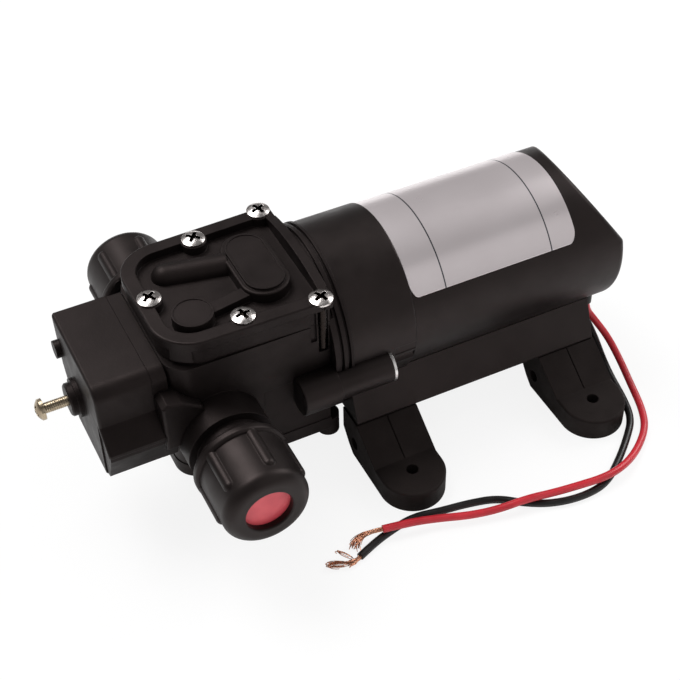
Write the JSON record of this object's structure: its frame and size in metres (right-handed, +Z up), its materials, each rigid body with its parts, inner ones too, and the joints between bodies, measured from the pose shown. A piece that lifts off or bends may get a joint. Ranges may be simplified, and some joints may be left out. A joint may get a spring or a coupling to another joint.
{
  "type": "diaphragm water pump",
  "caption": "Self-priming diaphragm water pump with a round motor, screw ports, pressure switch, rubber feet on a saddle rail and free leads.",
  "frame": {"origin": "on the ground, in the middle of the four foot holes", "axes": "+X along the motor axis towards the motor's closed end, +Z up, -Y towards the near port"},
  "size_m": [0.1555, 0.1086, 0.0607],
  "materials": {
    "black_plastic": "satin",
    "black_housing": "matte",
    "foot_rubber": "matte",
    "foil_label": "satin",
    "nickel_screw": "polished",
    "zinc_steel": "satin",
    "yellow_zinc": "satin",
    "red_plastic": "satin",
    "red_insulation": "satin",
    "black_insulation": "satin",
    "copper": "satin",
    "ferrite": "matte",
    "carbon": "matte",
    "steel": "satin",
    "lamination": "matte",
    "nylon": "matte",
    "seal_rubber": "matte"
  },
  "bodies": {
    "pump": {"head_cover": "black_housing", "cover_screws": "nickel_screw", "valve_gasket": "seal_rubber", "valve_plate": "nylon", "diaphragm": "seal_rubber", "upper_housing": "black_housing", "lower_housing": "black_housing", "bottom_cover": "black_housing", "side_channel": "black_housing", "drive_collar": "black_housing", "near_clamp_post": "black_plastic", "far_clamp_post": "black_plastic", "clamp_washers": "zinc_steel", "clamp_screws": "zinc_steel", "motor_bracket": "black_plastic", "motor_can": "steel", "magnets": "ferrite", "motor_end_cap": "nylon", "front_bearing": "steel", "rear_bush": "yellow_zinc", "brushes": "carbon", "brush_springs": "steel", "motor_sleeve": "black_plastic", "rating_label": "foil_label", "switch_base": "black_housing", "switch_cover": "black_housing", "switch_membrane": "seal_rubber", "micro_switch": "black_housing", "pressure_spring": "steel", "saddle_rail": "black_plastic", "front_near_foot": "foot_rubber", "front_far_foot": "foot_rubber", "rear_near_foot": "foot_rubber", "rear_far_foot": "foot_rubber", "lead_grommet": "seal_rubber", "red_lead": "red_insulation", "black_lead": "black_insulation", "red_lead_copper": "copper", "black_lead_copper": "copper"},
    "rotor": {"motor_shaft": "steel", "rotor_core": "lamination", "rotor_winding": "copper", "commutator": "copper", "eccentric": "steel"},
    "rod": {"connecting_rod": "nylon", "drive_bearing": "steel", "clamp_plate": "nylon", "clamp_screw": "zinc_steel"},
    "inlet_flap": {"inlet_valve": "seal_rubber"},
    "outlet_flap": {"outlet_valve": "seal_rubber"},
    "near_plug": {"near_port_plug": "red_plastic"},
    "near_nut": {"near_port_nut": "black_plastic"},
    "far_plug": {"far_port_plug": "red_plastic"},
    "far_nut": {"far_port_nut": "black_plastic"},
    "seat": {"spring_seat": "steel"},
    "pressure_setting": {"adjusting_screw": "yellow_zinc"},
    "plunger": {"switch_plunger": "nylon"},
    "button": {"switch_button": "red_plastic"}
  },
  "joints": [
    {"name": "rotor_spin", "type": "hinge", "parent": "pump", "child": "rotor", "pos_m": [0, 0, 0.0383], "axis": [1, 0, 0], "continuous": true, "deforming": ["diaphragm"]},
    {"name": "rod_orbit", "type": "hinge", "parent": "rotor", "child": "rod", "pos_m": [-0.061, 0, 0.0395], "axis": [1, 0, 0], "continuous": true, "deforming": ["diaphragm"]},
    {"name": "inlet_lift", "type": "slide", "parent": "pump", "child": "inlet_flap", "axis": [0, 0, -1], "range_m": [0, 0.00035], "stiffness_N_per_m": 20},
    {"name": "outlet_lift", "type": "slide", "parent": "pump", "child": "outlet_flap", "axis": [0, 0, 1], "range_m": [0, 0.00035], "stiffness_N_per_m": 20},
    {"name": "near_plug_out", "type": "slide", "parent": "pump", "child": "near_plug", "axis": [0, -1, 0], "range_m": [0, 0.003]},
    {"name": "near_nut_turn", "type": "hinge", "parent": "near_plug", "child": "near_nut", "pos_m": [-0.072, -0.045, 0.0294], "axis": [0, -1, 0], "range_deg": [0, 720]},
    {"name": "far_plug_out", "type": "slide", "parent": "pump", "child": "far_plug", "axis": [0, 1, 0], "range_m": [0, 0.003]},
    {"name": "far_nut_turn", "type": "hinge", "parent": "far_plug", "child": "far_nut", "pos_m": [-0.072, 0.045, 0.0294], "axis": [0, 1, 0], "range_deg": [0, 720]},
    {"name": "setting_slide", "type": "slide", "parent": "pump", "child": "seat", "axis": [1, 0, 0], "range_m": [0, 0.002], "deforming": ["pressure_spring"]},
    {"name": "setting_turn", "type": "hinge", "parent": "seat", "child": "pressure_setting", "pos_m": [-0.11, 0, 0.0353], "axis": [1, 0, 0], "range_deg": [0, 1440]},
    {"name": "plunger_slide", "type": "slide", "parent": "pump", "child": "plunger", "axis": [-1, 0, 0], "range_m": [0, 0.0008], "stiffness_N_per_m": 500, "deforming": ["pressure_spring"]},
    {"name": "button_slide", "type": "slide", "parent": "pump", "child": "button", "axis": [-1, 0, 0], "range_m": [0, 0.0008]}
  ],
  "couplings": [
    {"joint": "rod_orbit", "follows": "rotor_spin", "ratio": -1},
    {"joint": "near_nut_turn", "follows": "near_plug_out", "rad_per_m": 4188.8},
    {"joint": "far_nut_turn", "follows": "far_plug_out", "rad_per_m": 4188.8},
    {"joint": "setting_turn", "follows": "setting_slide", "rad_per_m": 12566},
    {"joint": "button_slide", "follows": "plunger_slide", "ratio": 1}
  ]
}
